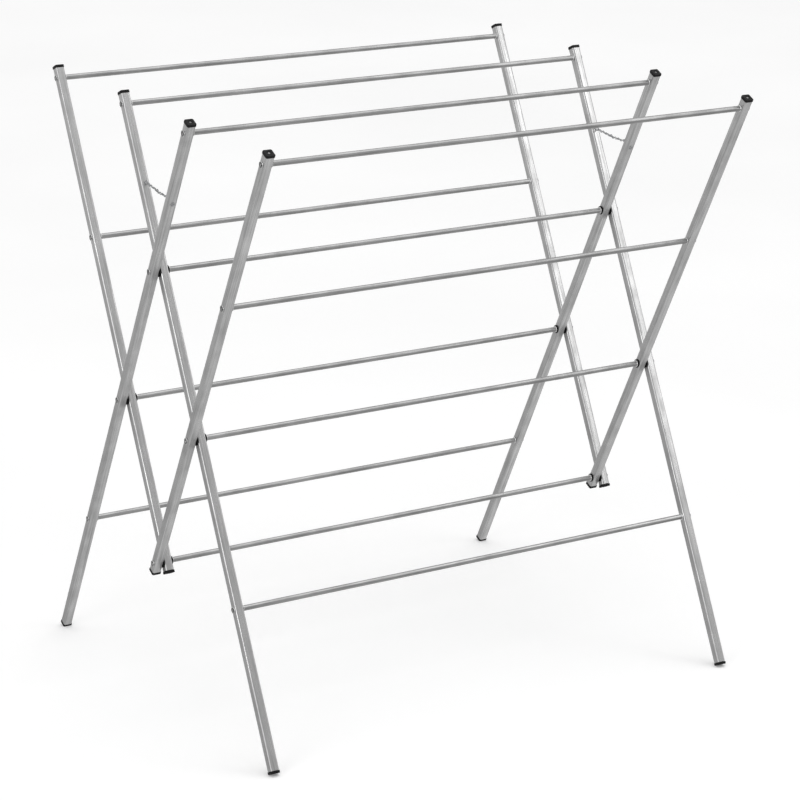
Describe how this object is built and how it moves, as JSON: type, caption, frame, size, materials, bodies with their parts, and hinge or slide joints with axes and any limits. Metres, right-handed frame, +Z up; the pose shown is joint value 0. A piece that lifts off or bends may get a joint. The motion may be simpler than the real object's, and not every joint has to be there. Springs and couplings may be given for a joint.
{
  "type": "clothes drying rack",
  "caption": "Folding clothes drying rack with crossed square-tube legs, round hanging rods on pivots, stay chains and plugged tube ends.",
  "frame": {"origin": "on the floor, under the middle of the open rack", "axes": "+X along the rods to the right, +Y from front to back, +Z up; modelled open, as it stands in use"},
  "size_m": [0.6758, 0.5706, 0.7399],
  "materials": {
    "steel_tube": "satin stainless square tube",
    "steel_rod": "satin stainless round tube",
    "black_plug": "moulded polyethylene, satin black",
    "nylon_washer": "black nylon, matt",
    "zinc_chain": "zinc-plated steel wire"
  },
  "bodies": {
    "rear_wing": {"rear_wing_leg_left": "steel_tube", "rear_wing_top_plug_left": "black_plug", "rear_wing_lower_plug_left": "black_plug", "rear_wing_leg_right": "steel_tube", "rear_wing_top_plug_right": "black_plug", "rear_wing_lower_plug_right": "black_plug", "rear_wing_middle_rod": "steel_rod", "rear_wing_top_rod": "steel_rod", "lower_pivot_rod": "steel_rod", "lower_pivot_washer_left": "nylon_washer", "lower_pivot_spacer_left": "nylon_washer", "lower_pivot_washer_right": "nylon_washer", "lower_pivot_spacer_right": "nylon_washer"},
    "front_wing": {"front_wing_leg_left": "steel_tube", "front_wing_top_plug_left": "black_plug", "front_wing_lower_plug_left": "black_plug", "front_wing_leg_right": "steel_tube", "front_wing_top_plug_right": "black_plug", "front_wing_lower_plug_right": "black_plug", "front_wing_middle_rod": "steel_rod", "front_wing_top_rod": "steel_rod"},
    "front_stand": {"front_stand_leg_left": "steel_tube", "front_stand_top_plug_left": "black_plug", "front_stand_foot_left": "black_plug", "front_stand_chain_pin_left": "zinc_chain", "front_stand_leg_right": "steel_tube", "front_stand_top_plug_right": "black_plug", "front_stand_foot_right": "black_plug", "front_stand_chain_pin_right": "zinc_chain", "front_stand_low_rod": "steel_rod", "front_stand_top_rod": "steel_rod", "upper_pivot_rod": "steel_rod", "upper_pivot_washer_left": "nylon_washer", "upper_pivot_spacer_left": "nylon_washer", "upper_pivot_washer_right": "nylon_washer", "upper_pivot_spacer_right": "nylon_washer", "front_pivot_rod": "steel_rod", "front_pivot_washer_left": "nylon_washer", "front_pivot_spacer_left": "nylon_washer", "front_pivot_washer_right": "nylon_washer", "front_pivot_spacer_right": "nylon_washer"},
    "rear_stand": {"rear_stand_leg_left": "steel_tube", "rear_stand_top_plug_left": "black_plug", "rear_stand_foot_left": "black_plug", "rear_stand_chain_pin_left": "zinc_chain", "rear_stand_leg_right": "steel_tube", "rear_stand_top_plug_right": "black_plug", "rear_stand_foot_right": "black_plug", "rear_stand_chain_pin_right": "zinc_chain", "rear_stand_low_rod": "steel_rod", "rear_stand_top_rod": "steel_rod", "rear_pivot_rod": "steel_rod", "rear_pivot_washer_left": "nylon_washer", "rear_pivot_spacer_left": "nylon_washer", "rear_pivot_washer_right": "nylon_washer", "rear_pivot_spacer_right": "nylon_washer"},
    "front_stand_chain_left": {"front_stand_chain_left": "zinc_chain"},
    "front_stand_chain_right": {"front_stand_chain_right": "zinc_chain"},
    "rear_stand_chain_left": {"rear_stand_chain_left": "zinc_chain"},
    "rear_stand_chain_right": {"rear_stand_chain_right": "zinc_chain"}
  },
  "joints": [
    {"name": "rear_stand_fold", "type": "hinge", "parent": "front_stand", "child": "rear_stand", "pos_m": [0, 0, 0.54072], "axis": [1, 0, 0], "range_deg": [-48.6, 0]},
    {"name": "rear_wing_fold", "type": "hinge", "parent": "rear_stand", "child": "rear_wing", "pos_m": [0, 0.09102, 0.35815], "axis": [1, 0, 0], "range_deg": [0, 48.6]},
    {"name": "front_wing_fold", "type": "hinge", "parent": "front_stand", "child": "front_wing", "pos_m": [0, -0.09102, 0.35815], "axis": [1, 0, 0], "range_deg": [-48.6, 0]},
    {"name": "front_stand_chain_left_swing", "type": "hinge", "parent": "front_stand", "child": "front_stand_chain_left", "pos_m": [-0.3188, 0.03915, 0.63853], "axis": [1, 0, 0], "range_deg": [0, 61.53]},
    {"name": "front_stand_chain_right_swing", "type": "hinge", "parent": "front_stand", "child": "front_stand_chain_right", "pos_m": [0.3312, 0.03915, 0.63853], "axis": [1, 0, 0], "range_deg": [0, 61.53]},
    {"name": "rear_stand_chain_left_swing", "type": "hinge", "parent": "rear_stand", "child": "rear_stand_chain_left", "pos_m": [-0.3312, -0.03915, 0.63853], "axis": [1, 0, 0], "range_deg": [-40.39, 0]},
    {"name": "rear_stand_chain_right_swing", "type": "hinge", "parent": "rear_stand", "child": "rear_stand_chain_right", "pos_m": [0.3188, -0.03915, 0.63853], "axis": [1, 0, 0], "range_deg": [-40.39, 0]}
  ],
  "couplings": [
    {"joint": "rear_wing_fold", "follows": "rear_stand_fold", "ratio": -1},
    {"joint": "front_wing_fold", "follows": "rear_stand_fold", "ratio": 1},
    {"joint": "front_stand_chain_left_swing", "follows": "rear_stand_fold", "ratio": -1.265},
    {"joint": "front_stand_chain_right_swing", "follows": "rear_stand_fold", "ratio": -1.265},
    {"joint": "rear_stand_chain_left_swing", "follows": "rear_stand_fold", "ratio": 0.83},
    {"joint": "rear_stand_chain_right_swing", "follows": "rear_stand_fold", "ratio": 0.83}
  ]
}
